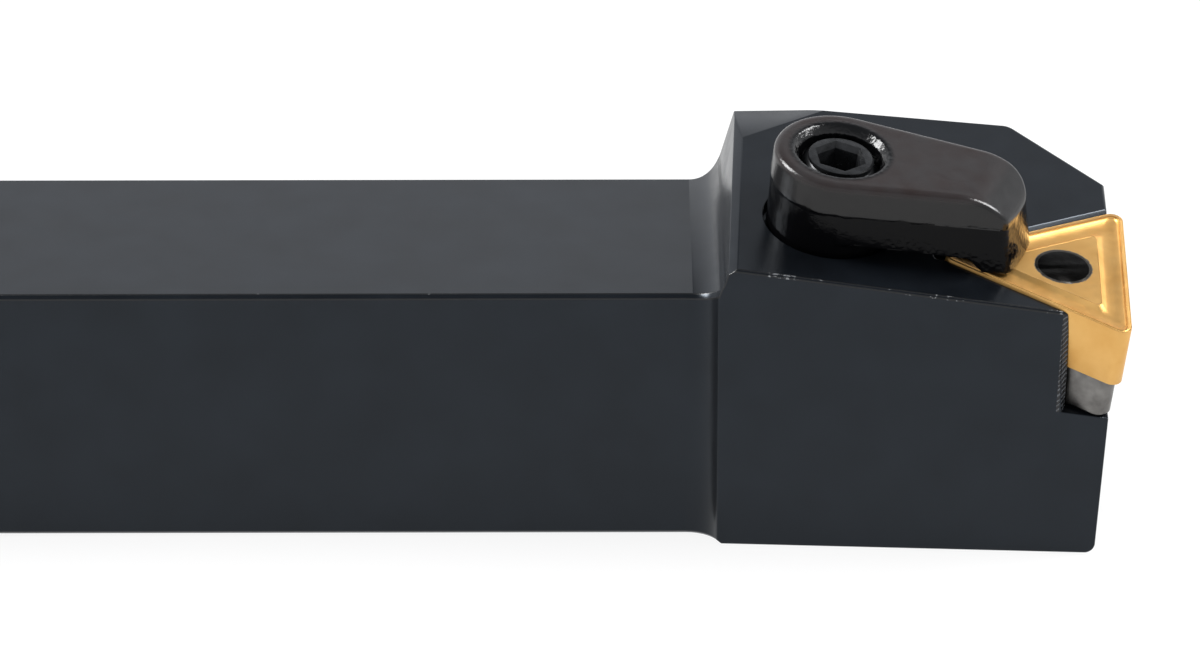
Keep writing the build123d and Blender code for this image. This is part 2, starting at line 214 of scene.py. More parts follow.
@dataclass(frozen=True)
class Finish:
    """What every finish shares: a name, a place for its patterns and their grain."""

    name: str
    place: Place = TOOL_PLACE

    def build(self) -> bpy.types.Material:
        """Makes the material.

        Returns:
            The material, dressed.
        """
        material = bpy.data.materials.new(self.name)
        material.use_nodes = True
        tree = material.node_tree
        tree.nodes.clear()
        shader = add_node(tree, "ShaderNodeBsdfPrincipled")
        add_node(tree, "ShaderNodeOutputMaterial", {}, {"Surface": shader.outputs["BSDF"]})
        self.dress(tree, shader, self.place.mapping(tree))
        return material

    def dress(self, tree: Tree, shader: Node, vector: Socket) -> None:
        """Adds the finish's own nodes.

        Args:
            tree: the material's node tree.
            shader: its principled shader.
            vector: coordinates in millimetres in the finish's place.
        """
        raise NotImplementedError

    @staticmethod
    def grain(
        tree: Tree,
        vector: Socket,
        size: float,
        low: float = 0.0,
        high: float = 1.0,
        detail: float = 3.0,
    ) -> Socket:
        """Makes an uneven pattern whose features have a real size.

        Args:
            tree: the node tree.
            vector: coordinates in millimetres.
            size: the size of a feature in millimetres.
            low: what the pattern's dark end becomes.
            high: what its light end becomes.
            detail: how many finer octaves there are.

        Returns:
            The ranged pattern.
        """
        pattern = add_node(
            tree, "ShaderNodeTexNoise", {},
            {"Vector": vector, "Scale": 1 / size, "Detail": detail},
        )
        dark, light = NOISE_SPREAD
        ranged = add_node(
            tree, "ShaderNodeMapRange", {},
            {
                "Value": pattern.outputs["Fac"],
                "From Min": dark,
                "From Max": light,
                "To Min": low,
                "To Max": high,
            },
        )
        return ranged.outputs["Result"]

    @staticmethod
    def off_axis(tree: Tree, vector: Socket) -> Socket:
        """Measures how far a point is from the place's Z axis.

        Args:
            tree: the node tree.
            vector: coordinates in millimetres in the finish's place.

        Returns:
            The distance in millimetres.
        """
        flat = add_node(
            tree, "ShaderNodeVectorMath", {"operation": "MULTIPLY"}, {0: vector, 1: (1, 1, 0)}
        )
        distance = add_node(
            tree, "ShaderNodeVectorMath", {"operation": "LENGTH"}, {0: flat.outputs["Vector"]}
        )
        return distance.outputs["Value"]


@dataclass(frozen=True)
class BlackOxide(Finish):
    """Black oxide on machined alloy steel: near-black, with a thin oiled gloss.

    The oil film gives soft cool reflections, and the cutter's passes leave a faint lay.
    """

    name: str = "black_oxide_on_machined_steel"
    oxide: str = "#090b0e"
    oxide_paler: str = "#0f1216"
    cloud_size: float = 4.0
    oil_tint: str = "#dae6f4"
    oil_gloss: float = 0.37
    film_size: float = 1.6
    film_roughness: tuple[float, float] = (0.2, 0.27)
    lay_size: float = 0.35  # coarser than the cutter's real feed, so that it shows
    lay_stretch: tuple[float, float, float] = (0.05, 1.0, 1.0)
    lay_share: float = 0.35
    grain_size: float = 0.09
    grain_depth: float = 0.0012

    def dress(self, tree: Tree, shader: Node, vector: Socket) -> None:
        """Mottled oxide, an uneven oil film and the faint lay of the cutter.

        Args:
            tree: the material's node tree.
            shader: its principled shader.
            vector: coordinates in millimetres in the finish's place.
        """
        cloud = self.grain(tree, vector, self.cloud_size)
        colour = add_node(
            tree, "ShaderNodeMix", COLOURS,
            {0: cloud, MIX_A: linear(self.oxide), MIX_B: linear(self.oxide_paler)},
        )
        drawn = add_node(
            tree, "ShaderNodeVectorMath", {"operation": "MULTIPLY"},
            {0: vector, 1: self.lay_stretch},
        )
        lay = self.grain(tree, drawn.outputs["Vector"], self.lay_size)
        fine = self.grain(tree, vector, self.grain_size)
        height = add_node(
            tree, "ShaderNodeMath", {"operation": "MULTIPLY_ADD"},
            {0: lay, 1: self.lay_share, 2: fine},
        )
        relief = add_node(
            tree, "ShaderNodeBump", {},
            {"Height": height.outputs[0], "Distance": self.grain_depth * MM},
        )
        feed(tree, shader, {
            "Base Color": colour.outputs[MIX_COLOUR],
            "Specular IOR Level": self.oil_gloss,
            "Specular Tint": linear(self.oil_tint),
            "Roughness": self.grain(tree, vector, self.film_size, *self.film_roughness),
            "Normal": relief.outputs["Normal"],
        })


@dataclass(frozen=True)
class RubbedEdge(Finish):
    """Black oxide rubbed through along an edge: grey steel in short broken runs on a dark line."""

    name: str = "rubbed_edge_of_black_oxide"
    oxide: str = "#07080a"
    steel: str = "#a9aaab"
    roughness: float = 0.3
    run_length: float = 3.0
    break_size: float = 0.3
    bare_from: float = 0.42
    bare_to: float = 0.6
    scratch_depth: float = 0.02
    scratch_strength: float = 0.6

    def dress(self, tree: Tree, shader: Node, vector: Socket) -> None:
        """Long runs and short breaks decide where the steel shows.

        Args:
            tree: the material's node tree.
            shader: its principled shader.
            vector: coordinates in millimetres in the finish's place.
        """
        runs = self.grain(tree, vector, self.run_length, detail=1.0)
        breaks = self.grain(tree, vector, self.break_size, detail=2.0)
        both = add_node(tree, "ShaderNodeMath", {"operation": "MULTIPLY"}, {0: runs, 1: breaks})
        bare = add_node(
            tree, "ShaderNodeMapRange", SMOOTH,
            {"Value": both.outputs[0], "From Min": self.bare_from, "From Max": self.bare_to},
        )
        colour = add_node(
            tree, "ShaderNodeMix", COLOURS,
            {0: bare.outputs["Result"], MIX_A: linear(self.oxide), MIX_B: linear(self.steel)},
        )
        relief = add_node(
            tree, "ShaderNodeBump", {},
            {
                "Height": breaks,
                "Distance": self.scratch_depth * MM,
                "Strength": self.scratch_strength,
            },
        )
        feed(tree, shader, {
            "Base Color": colour.outputs[MIX_COLOUR],
            "Metallic": bare.outputs["Result"],
            "Roughness": self.roughness,
            "Normal": relief.outputs["Normal"],
        })


@dataclass(frozen=True)
class MilledBevel(Finish):
    """The strip that a ball-nosed cutter leaves: a rope of slanting scallops, with painted highlight
    on their crests.
    """

    name: str = "black_oxide_on_scalloped_bevel"
    oxide: str = "#08090b"
    # painted highlight: the crests of the scallops are painted in this paler colour
    oxide_paler: str = "#4a4d51"
    roughness: float = 0.24
    scallop: float = 0.3
    scallop_depth: float = 0.035
    slant: float = 42.0
    wobble_size: float = 0.8
    wobble: float = 0.06
    crest_from: float = 0.2

    def dress(self, tree: Tree, shader: Node, vector: Socket) -> None:
        """Slanting scallops one above the other, with painted highlight that makes their crests
        paler.

        Args:
            tree: the material's node tree.
            shader: its principled shader.
            vector: coordinates in millimetres in the finish's place.
        """
        tilted = add_node(
            tree, "ShaderNodeMapping", {"vector_type": "POINT"},
            {"Vector": vector, "Rotation": Euler((0.0, math.radians(self.slant), 0.0))},
        )
        parts = add_node(
            tree, "ShaderNodeSeparateXYZ", {}, {"Vector": tilted.outputs["Vector"]}
        )
        wobble = self.grain(tree, vector, self.wobble_size, -self.wobble, self.wobble)
        up = add_node(
            tree, "ShaderNodeMath", {"operation": "ADD"}, {0: parts.outputs["Z"], 1: wobble}
        )
        phase = add_node(
            tree, "ShaderNodeMath", {"operation": "MULTIPLY"},
            {0: up.outputs[0], 1: FULL_TURN / self.scallop},
        )
        wave = add_node(tree, "ShaderNodeMath", {"operation": "SINE"}, {0: phase.outputs[0]})
        # painted highlight: the crests are painted paler than the troughs
        crest = add_node(
            tree, "ShaderNodeMapRange", SMOOTH,
            {"Value": wave.outputs[0], "From Min": self.crest_from, "From Max": 1.0},
        )
        colour = add_node(
            tree, "ShaderNodeMix", COLOURS,
            {
                0: crest.outputs["Result"],
                MIX_A: linear(self.oxide),
                MIX_B: linear(self.oxide_paler),
            },
        )
        height = add_node(
            tree, "ShaderNodeMath", {"operation": "MULTIPLY_ADD"},
            {0: wave.outputs[0], 1: 0.5, 2: 0.5},
        )
        relief = add_node(
            tree, "ShaderNodeBump", {},
            {"Height": height.outputs[0], "Distance": self.scallop_depth * MM},
        )
        feed(tree, shader, {
            "Base Color": colour.outputs[MIX_COLOUR],
            "Roughness": self.roughness,
            "Normal": relief.outputs["Normal"],
        })


@dataclass(frozen=True)
class ForgedSteel(Finish):
    """Hot-forged alloy steel, tempered: a satin brown-grey scale above the parting line.

    Below the line and in the dish the scale is oily and smoother, so it shines, and its colour is
    black painted shade.
    """

    name: str = "tempered_forged_steel"
    scale_brown: str = "#221b1a"
    scale_grey: str = "#262323"
    # painted shade: black below the parting line and in the dish
    painted_shade_black: str = "#050506"
    # painted shade: the flanks below the top are painted darker than the top
    painted_flank_shade: str = "#0f0e0e"
    cloud_size: float = 1.7
    oil_gloss: float = 0.37
    satin_size: float = 0.7
    satin_roughness: tuple[float, float] = (0.17, 0.25)
    oil_size: float = 0.5
    oily_roughness: tuple[float, float] = (0.09, 0.15)
    parting: float = 3.8
    parting_blend: tuple[float, float] = (-0.15, 0.2)
    parting_wander: float = 0.22
    wander_size: float = 0.9
    # the flanks' painted shade fades in below this height
    top: float = 6.2
    top_blend: tuple[float, float] = (-0.7, -0.2)
    dish_radius: float = 3.9
    dish_blend: tuple[float, float] = (-0.3, 0.2)
    grain_size: float = 0.14
    grain_depth: float = 0.0045
    dent_size: float = 0.34
    dent_share: float = 5.0

    def dress(self, tree: Tree, shader: Node, vector: Socket) -> None:
        """Brown and grey scale above the parting line, with black painted shade below it and in the
        dish.

        Args:
            tree: the material's node tree.
            shader: its principled shader.
            vector: coordinates in millimetres in the finish's place.
        """
        outside = self.past(tree, self.off_axis(tree, vector), self.dish_radius, self.dish_blend)
        satin_unshaded = self.satin_unshaded(tree, vector, outside)
        satin = self.grain(tree, vector, self.satin_size, *self.satin_roughness)
        oily = self.grain(tree, vector, self.oil_size, *self.oily_roughness)
        roughness = add_node(
            tree, "ShaderNodeMix", {"data_type": "FLOAT"}, {0: satin_unshaded, 2: oily, 3: satin}
        )
        feed(tree, shader, {
            "Base Color": self.colour(tree, vector, satin_unshaded),
            "Specular IOR Level": self.oil_gloss,
            "Roughness": roughness.outputs[0],
            "Normal": self.relief(tree, vector, outside),
        })

    @staticmethod
    def past(tree: Tree, value: Socket, limit: float, blend: tuple[float, float]) -> Socket:
        """Tells softly whether a value is past a limit.

        Args:
            tree: the node tree.
            value: what is tested.
            limit: the limit.
            blend: where the change starts and ends, from the limit.

        Returns:
            0 before the limit and 1 past it.
        """
        passed = add_node(
            tree, "ShaderNodeMapRange", SMOOTH,
            {"Value": value, "From Min": limit + blend[0], "From Max": limit + blend[1]},
        )
        return passed.outputs["Result"]

    def satin_unshaded(self, tree: Tree, vector: Socket, outside: Socket) -> Socket:
        """Tells where the satin scale shows, outside the black painted shade.

        Args:
            tree: the node tree.
            vector: coordinates in millimetres in the finish's place.
            outside: 1 outside the dish.

        Returns:
            1 above the wandering parting line and outside the dish, 0 elsewhere.
        """
        parts = add_node(tree, "ShaderNodeSeparateXYZ", {}, {"Vector": vector})
        wander = self.grain(
            tree, vector, self.wander_size, -self.parting_wander, self.parting_wander
        )
        line = add_node(
            tree, "ShaderNodeMath", {"operation": "ADD"}, {0: parts.outputs["Z"], 1: wander}
        )
        upper = self.past(tree, line.outputs[0], self.parting, self.parting_blend)
        both = add_node(
            tree, "ShaderNodeMath", {"operation": "MULTIPLY"}, {0: upper, 1: outside}
        )
        return both.outputs[0]

    def colour(self, tree: Tree, vector: Socket, satin_unshaded: Socket) -> Socket:
        """Colours the scale.

        Args:
            tree: the node tree.
            vector: coordinates in millimetres in the finish's place.
            satin_unshaded: 1 where the satin scale shows.

        Returns:
            The colour: clouded on top, with painted shade darker on the flanks, and black painted
                shade below the parting line and in the dish.
        """
        parts = add_node(tree, "ShaderNodeSeparateXYZ", {}, {"Vector": vector})
        # painted shade: below the top the colour darkens to the flank colour
        level = self.past(tree, parts.outputs["Z"], self.top, self.top_blend)
        clouded = add_node(
            tree, "ShaderNodeMix", COLOURS,
            {
                0: self.grain(tree, vector, self.cloud_size),
                MIX_A: linear(self.scale_brown),
                MIX_B: linear(self.scale_grey),
            },
        )
        satin = add_node(
            tree, "ShaderNodeMix", COLOURS,
            {0: level, MIX_A: linear(self.painted_flank_shade), MIX_B: clouded.outputs[MIX_COLOUR]},
        )
        # painted shade: black wherever the satin scale does not show
        whole = add_node(
            tree, "ShaderNodeMix", COLOURS,
            {0: satin_unshaded, MIX_A: linear(self.painted_shade_black), MIX_B: satin.outputs[MIX_COLOUR]},
        )
        return whole.outputs[MIX_COLOUR]

    def relief(self, tree: Tree, vector: Socket, outside: Socket) -> Socket:
        """Gives the scale its fine grain, and the dish its hammered dents.

        Args:
            tree: the node tree.
            vector: coordinates in millimetres in the finish's place.
            outside: 1 outside the dish.

        Returns:
            The bumped normal.
        """
        fine = self.grain(tree, vector, self.grain_size)
        hammered = self.grain(tree, vector, self.dent_size)
        inside = add_node(
            tree, "ShaderNodeMath", {"operation": "SUBTRACT"}, {0: 1.0, 1: outside}
        )
        dents = add_node(
            tree, "ShaderNodeMath", {"operation": "MULTIPLY"},
            {0: hammered, 1: inside.outputs[0]},
        )
        height = add_node(
            tree, "ShaderNodeMath", {"operation": "MULTIPLY_ADD"},
            {0: dents.outputs[0], 1: self.dent_share, 2: fine},
        )
        bumped = add_node(
            tree, "ShaderNodeBump", {},
            {"Height": height.outputs[0], "Distance": self.grain_depth * MM},
        )
        return bumped.outputs["Normal"]


@dataclass(frozen=True)
class GoldNitride(Finish):
    """Titanium nitride over sintered carbide: warm gold with a fine matt grain.

    The ring round the bore has lost its coat and shows grey carbide, and the bore is painted dark as
    shade.
    """

    name: str = "titanium_nitride_on_carbide"
    gold: str = "#e6b871"
    gold_deep: str = "#d9a75f"
    drift_size: float = 2.6
    roughness: tuple[float, float] = (0.42, 0.5)
    roughness_size: float = 0.5
    carbide: str = "#77736d"
    bore_shade: str = "#1c1b1a"
    ring_inside: float = 1.9
    ring_inside_blend: float = 0.03
    ring_outside: float = 2.12
    ring_outside_blend: float = 0.1
    rub_size: float = 0.35
    rub: float = 0.05
    grain_size: float = 0.08
    grain_depth: float = 0.0016

    def dress(self, tree: Tree, shader: Node, vector: Socket) -> None:
        """A gold coat with slow colour drift, and bare carbide round the bore.

        Args:
            tree: the material's node tree.
            shader: its principled shader.
            vector: coordinates in millimetres in the finish's place.
        """
        fine = self.grain(tree, vector, self.grain_size)
        relief = add_node(
            tree, "ShaderNodeBump", {}, {"Height": fine, "Distance": self.grain_depth * MM}
        )
        feed(tree, shader, {
            "Base Color": self.colour(tree, vector),
            "Metallic": 1.0,
            "Roughness": self.grain(tree, vector, self.roughness_size, *self.roughness),
            "Normal": relief.outputs["Normal"],
        })

    def colour(self, tree: Tree, vector: Socket) -> Socket:
        """Colours the coat, the rubbed ring and the bore.

        Args:
            tree: the node tree.
            vector: coordinates in millimetres in the finish's place.

        Returns:
            The colour.
        """
        distance = self.off_axis(tree, vector)
        rub = self.grain(tree, vector, self.rub_size, -self.rub, self.rub)
        radius = add_node(tree, "ShaderNodeMath", {"operation": "ADD"}, {0: distance, 1: rub})
        coated = add_node(
            tree, "ShaderNodeMapRange", SMOOTH,
            {
                "Value": radius.outputs[0],
                "From Min": self.ring_outside,
                "From Max": self.ring_outside + self.ring_outside_blend,
            },
        )
        on_ring = add_node(
            tree, "ShaderNodeMapRange", SMOOTH,
            {
                "Value": distance,
                "From Min": self.ring_inside,
                "From Max": self.ring_inside + self.ring_inside_blend,
            },
        )
        coat = add_node(
            tree, "ShaderNodeMix", COLOURS,
            {
                0: self.grain(tree, vector, self.drift_size),
                MIX_A: linear(self.gold),
                MIX_B: linear(self.gold_deep),
            },
        )
        # painted shade: the bore's wall is painted dark
        bare = add_node(
            tree, "ShaderNodeMix", COLOURS,
            {
                0: on_ring.outputs["Result"],
                MIX_A: linear(self.bore_shade),
                MIX_B: linear(self.carbide),
            },
        )
        whole = add_node(
            tree, "ShaderNodeMix", COLOURS,
            {
                0: coated.outputs["Result"],
                MIX_A: bare.outputs[MIX_COLOUR],
                MIX_B: coat.outputs[MIX_COLOUR],
            },
        )
        return whole.outputs[MIX_COLOUR]


@dataclass(frozen=True)
class GroundCarbide(Finish):
    """Ground cemented carbide: even mid grey, with the fine level lines of the grinding wheel."""

    name: str = "ground_carbide"
    light: str = "#82807d"
    dark: str = "#666462"
    cloud_size: float = 1.1
    roughness: tuple[float, float] = (0.34, 0.46)
    roughness_size: float = 0.6
    lay_size: float = 0.12  # coarser than the wheel's real grit, so that it shows
    lay_stretch: tuple[float, float, float] = (0.08, 0.08, 1.0)
    lay_depth: float = 0.0015

    def dress(self, tree: Tree, shader: Node, vector: Socket) -> None:
        """Cloudy grey with fine lines along the sides.

        Args:
            tree: the material's node tree.
            shader: its principled shader.
            vector: coordinates in millimetres in the finish's place.
        """
        cloud = self.grain(tree, vector, self.cloud_size)
        colour = add_node(
            tree, "ShaderNodeMix", COLOURS,
            {0: cloud, MIX_A: linear(self.light), MIX_B: linear(self.dark)},
        )
        drawn = add_node(
            tree, "ShaderNodeVectorMath", {"operation": "MULTIPLY"},
            {0: vector, 1: self.lay_stretch},
        )
        lay = self.grain(tree, drawn.outputs["Vector"], self.lay_size)
        relief = add_node(
            tree, "ShaderNodeBump", {}, {"Height": lay, "Distance": self.lay_depth * MM}
        )
        feed(tree, shader, {
            "Base Color": colour.outputs[MIX_COLOUR],
            "Metallic": 1.0,
            "Roughness": self.grain(tree, vector, self.roughness_size, *self.roughness),
            "Normal": relief.outputs["Normal"],
        })


@dataclass(frozen=True)
class OiledScrewSteel(Finish):
    """Turned high-tensile steel, blacked and oiled: dark, with rings that catch the light."""

    name: str = "oiled_screw_steel"
    dark: str = "#1b1c1d"
    light: str = "#2c2d2f"
    metal_share: float = 0.5
    stain_size: float = 0.6
    roughness: tuple[float, float] = (0.24, 0.34)
    roughness_size: float = 0.5
    ring_step: float = 0.16  # coarser than the lathe's real feed, so that it shows
    ring_depth: float = 0.002

    def dress(self, tree: Tree, shader: Node, vector: Socket) -> None:
        """Rings round the axis and small stains.

        Args:
            tree: the material's node tree.
            shader: its principled shader.
            vector: coordinates in millimetres in the finish's place.
        """
        phase = add_node(
            tree, "ShaderNodeMath", {"operation": "MULTIPLY"},
            {0: self.off_axis(tree, vector), 1: FULL_TURN / self.ring_step},
        )
        rings = add_node(tree, "ShaderNodeMath", {"operation": "SINE"}, {0: phase.outputs[0]})
        stain = self.grain(tree, vector, self.stain_size)
        colour = add_node(
            tree, "ShaderNodeMix", COLOURS,
            {0: stain, MIX_A: linear(self.dark), MIX_B: linear(self.light)},
        )
        height = add_node(
            tree, "ShaderNodeMath", {"operation": "MULTIPLY_ADD"},
            {0: rings.outputs[0], 1: 0.5, 2: 0.5},
        )
        relief = add_node(
            tree, "ShaderNodeBump", {},
            {"Height": height.outputs[0], "Distance": self.ring_depth * MM},
        )
        feed(tree, shader, {
            "Base Color": colour.outputs[MIX_COLOUR],
            "Metallic": self.metal_share,
            "Roughness": self.grain(tree, vector, self.roughness_size, *self.roughness),
            "Normal": relief.outputs["Normal"],
        })


@dataclass(frozen=True)
class StudioPaper(Finish):
    """White paper sweep: it stays white to the eye and keeps a soft shadow."""

    name: str = "white_paper_sweep"
    paper: str = "#f4f4f4"
    paper_grey: str = "#f1f1f1"
    tone_size: float = 60.0
    roughness: float = 0.9
    shadow_share: float = 0.12

    def dress(self, tree: Tree, shader: Node, vector: Socket) -> None:
        """Lit paper, mixed with plain white for what looks at it or at its mirror image.

        Args:
            tree: the material's node tree.
            shader: its principled shader.
            vector: coordinates in millimetres in the finish's place.
        """
        tone = self.grain(tree, vector, self.tone_size)
        colour = add_node(
            tree, "ShaderNodeMix", COLOURS,
            {0: tone, MIX_A: linear(self.paper), MIX_B: linear(self.paper_grey)},
        )
        feed(tree, shader, {
            "Base Color": colour.outputs[MIX_COLOUR],
            "Roughness": self.roughness,
        })
        path = add_node(tree, "ShaderNodeLightPath")
        seen = path.outputs["Is Camera Ray"]
        for ray in ("Is Glossy Ray", "Is Transmission Ray"):
            either = add_node(
                tree, "ShaderNodeMath", {"operation": "MAXIMUM"},
                {0: seen, 1: path.outputs[ray]},
            )
            seen = either.outputs[0]
        share = add_node(
            tree, "ShaderNodeMath", {"operation": "MULTIPLY"},
            {0: seen, 1: 1.0 - self.shadow_share},
        )
        white = add_node(tree, "ShaderNodeEmission", {}, {"Strength": 1.0})
        mix = add_node(
            tree, "ShaderNodeMixShader", {},
            {0: share.outputs[0], 1: shader.outputs["BSDF"], 2: white.outputs["Emission"]},
        )
        output = next(n for n in tree.nodes if n.type == "OUTPUT_MATERIAL")
        feed(tree, output, {"Surface": mix.outputs[0]})


def finish_mesh(
    bm: bmesh.types.BMesh, name: str, smooth_angle: float = 30.0
) -> bpy.types.Object:
    """Turns a bmesh in the tool's frame into a shaded object at the origin.

    Args:
        bm: the mesh, which is freed.
        name: the object's name.
        smooth_angle: degrees between faces below which they are shaded as one.

    Returns:
        The linked object.
    """
    for edge in bm.edges:
        if len(edge.link_faces) == 2:
            edge.smooth = edge.calc_face_angle() < math.radians(smooth_angle)
    for face in bm.faces:
        face.smooth = True
    mesh = bpy.data.meshes.new(name)
    bm.to_mesh(mesh)
    bm.free()
    made = bpy.data.objects.new(name, mesh)
    bpy.context.scene.collection.objects.link(made)
    return made


def merged_copy(node: bpy.types.Object) -> bmesh.types.BMesh:
    """Copies a solid's mesh, joins its loose triangles and clears the lines on flat faces.

    Args:
        node: the solid's object.

    Returns:
        The joined mesh.
    """
    bm = bmesh.new()
    bm.from_mesh(node.data)
    bmesh.ops.remove_doubles(bm, verts=bm.verts, dist=WELD * MM)
    bmesh.ops.dissolve_limit(
        bm, angle_limit=math.radians(FLAT), verts=bm.verts, edges=bm.edges,
        use_dissolve_boundaries=False,
    )
    return bm


def soften_edges(
    bm: bmesh.types.BMesh, width: float, sharpest: float, segments: int = 2
) -> list[bmesh.types.BMFace]:
    """Rounds every edge that is sharper than an angle.

    Args:
        bm: the mesh.
        width: the round's width in millimetres.
        sharpest: degrees past which an edge is rounded.
        segments: how many faces the round has.

    Returns:
        The new faces of the rounds.
    """
    sharp = [
        e for e in bm.edges
        if len(e.link_faces) == 2 and e.calc_face_angle() > math.radians(sharpest)
    ]
    made = bmesh.ops.bevel(
        bm, geom=sharp, offset=width * MM, offset_type="OFFSET", segments=segments,
        profile=0.5, affect="EDGES", clamp_overlap=False, material=-1,
    )
    return made["faces"]


@dataclass
class HolderBody:
    """Shank and head: one machined forging with a pocket for the insert."""

    edge_round: float = 0.07
    edge_angle: float = 20.0
    head_start: float = 50.0
    near_side: float = -9.0
    side_lean: float = -0.9  # most Y in the normal of a face on the near side
    rubbed_height: float = 19.4
    rubbed_lean: float = -0.2  # most Y in the normal of a rubbed round
    band_start: float = 73.1
    band_foot: float = 11.78
    band_slope: float = 0.035
    band_lean: tuple[float, float, float] = (-0.1, -0.05, 0.5)  # least X, most Y, steepest Z
    far_wall_start: float = 60.0
    chamfer_lean: tuple[float, float] = (-0.3, 0.4)  # most Y and least Z in its normal
    flat_area: float = 25.0  # square millimetres past which a face is shaded flat
    finish: BlackOxide = field(default_factory=BlackOxide)
    edge: RubbedEdge = field(default_factory=RubbedEdge)
    milled: MilledBevel = field(default_factory=MilledBevel)
    oiled_edge: RubbedEdge = field(
        default_factory=lambda: RubbedEdge(
            name="oiled_edge_of_black_oxide", bare_from=0.9, bare_to=1.1
        )
    )
    chamfer: BlackOxide = field(
        default_factory=lambda: BlackOxide(name="matt_black_oxide_of_chamfer", oil_gloss=0.12)
    )

    def build(self, node: bpy.types.Object) -> bpy.types.Object:
        """Makes the softened body and dresses it.

        Args:
            node: the solid it stands for.

        Returns:
            The finished object.
        """
        bm = merged_copy(node)
        self.mark_band(bm)
        rounds = set(soften_edges(bm, self.edge_round, self.edge_angle))
        for face in bm.faces:
            centre = face.calc_center_median() / MM
            if face in rounds:
                face.material_index = self.round_skin(centre, face.normal)
            else:
                face.material_index = self.face_skin(centre, face.normal)
        made = finish_mesh(bm, "dressed_holder_body")
        for polygon in made.data.polygons:
            polygon.use_smooth = polygon.area < self.flat_area * MM * MM
        for finish in (self.finish, self.edge, self.milled, self.oiled_edge, self.chamfer):
            made.data.materials.append(finish.build())
        return made

    def mark_band(self, bm: bmesh.types.BMesh) -> None:
        """Cuts the near side where its milled band starts.

        Args:
            bm: the body's mesh.
        """
        cuts = (
            (0.0, Vector((self.band_start, 0, self.band_foot)), (1, 0, -self.band_slope)),
            (self.band_start, Vector((0, 0, self.band_foot)), (0, 0, 1)),
        )
        for past, point, normal in cuts:
            near = [
                f for f in bm.faces
                if f.normal.y < self.side_lean and f.calc_center_median().x > past * MM
            ]
            around = {g for f in near for g in (*f.verts, *f.edges)}
            bmesh.ops.bisect_plane(
                bm, geom=near + list(around), dist=WELD * MM, plane_co=point * MM,
                plane_no=normal,
            )

    def round_skin(self, centre: Vector, normal: Vector) -> BodySkin:
        """Picks the finish of an edge's round: rubbed on the upper near edges.

        Args:
            centre: the face's middle in millimetres.
            normal: its normal.

        Returns:
            The finish.
        """
        near = centre.y < self.near_side and normal.y < self.rubbed_lean
        if not (near and centre.z > self.rubbed_height):
            return BodySkin.OXIDE
        return BodySkin.RUBBED_EDGE if centre.x > self.head_start else BodySkin.OILED_EDGE

    def face_skin(self, centre: Vector, normal: Vector) -> BodySkin:
        """Picks the finish of a face: the scalloped band, the far wall's chamfer or the rest.

        Args:
            centre: the face's middle in millimetres.
            normal: its normal.

        Returns:
            The finish.
        """
        forward, outward, upward = self.band_lean
        past = centre.x - self.band_start - self.band_slope * (centre.z - self.band_foot)
        faces_out = normal.x > forward and normal.y < outward and abs(normal.z) < upward
        if faces_out and past > 0 and centre.z > self.band_foot:
            return BodySkin.MILLED
        toward, upward = self.chamfer_lean
        far = centre.x > self.far_wall_start and centre.y > self.near_side
        if far and normal.y < toward and normal.z > upward:
            return BodySkin.CHAMFER
        return BodySkin.OXIDE


@dataclass
class Shim:
    """The carbide seat under the insert."""

    place: Place
    edge_round: float = 0.05
    edge_angle: float = 30.0

    def build(self, node: bpy.types.Object) -> bpy.types.Object:
        """Makes the softened shim and dresses it.

        Args:
            node: the solid it stands for.

        Returns:
            The finished object.
        """
        bm = merged_copy(node)
        soften_edges(bm, self.edge_round, self.edge_angle)
        made = finish_mesh(bm, "dressed_shim")
        made.data.materials.append(GroundCarbide(place=self.place).build())
        return made


def round_ring(
    bm: bmesh.types.BMesh, radius: float, height: float, offset: float = 0.0, sides: int = 48
) -> Edges:
    """A level circle of edges.

    Args:
        bm: the mesh.
        radius: its radius.
        height: its Z.
        offset: its centre's X.
        sides: how many edges it has.

    Returns:
        Its edges.
    """
    made = bmesh.ops.create_circle(
        bm, radius=radius, segments=sides, matrix=Matrix.Translation((offset, 0, height))
    )
    return list({e for v in made["verts"] for e in v.link_edges})


def key_ring(
    bm: bmesh.types.BMesh, flats: float, height: float, turn: float = 0.0, offset: float = 0.0
) -> Edges:
    """A level hexagon of edges.

    Args:
        bm: the mesh.
        flats: the width across flats.
        height: its Z.
        turn: degrees that it is turned.
        offset: its centre's X.

    Returns:
        Its edges.
    """
    turned = Matrix.Translation((offset, 0, height)) @ Matrix.Rotation(math.radians(turn), 4, "Z")
    made = bmesh.ops.create_circle(
        bm, radius=flats / math.sqrt(3), segments=HEXAGON_SIDES, matrix=turned
    )
    return list({e for v in made["verts"] for e in v.link_edges})


def skin(bm: bmesh.types.BMesh, rings: list[Edges]) -> None:
    """Joins each ring to the next with faces.

    Args:
        bm: the mesh.
        rings: the rings' edges, in order.
    """
    for first, second in zip(rings, rings[1:]):
        bmesh.ops.bridge_loops(bm, edges=first + second)


def cap(bm: bmesh.types.BMesh, ring: Edges) -> None:
    """Closes a ring with one face."""
    bmesh.ops.contextual_create(bm, geom=ring)


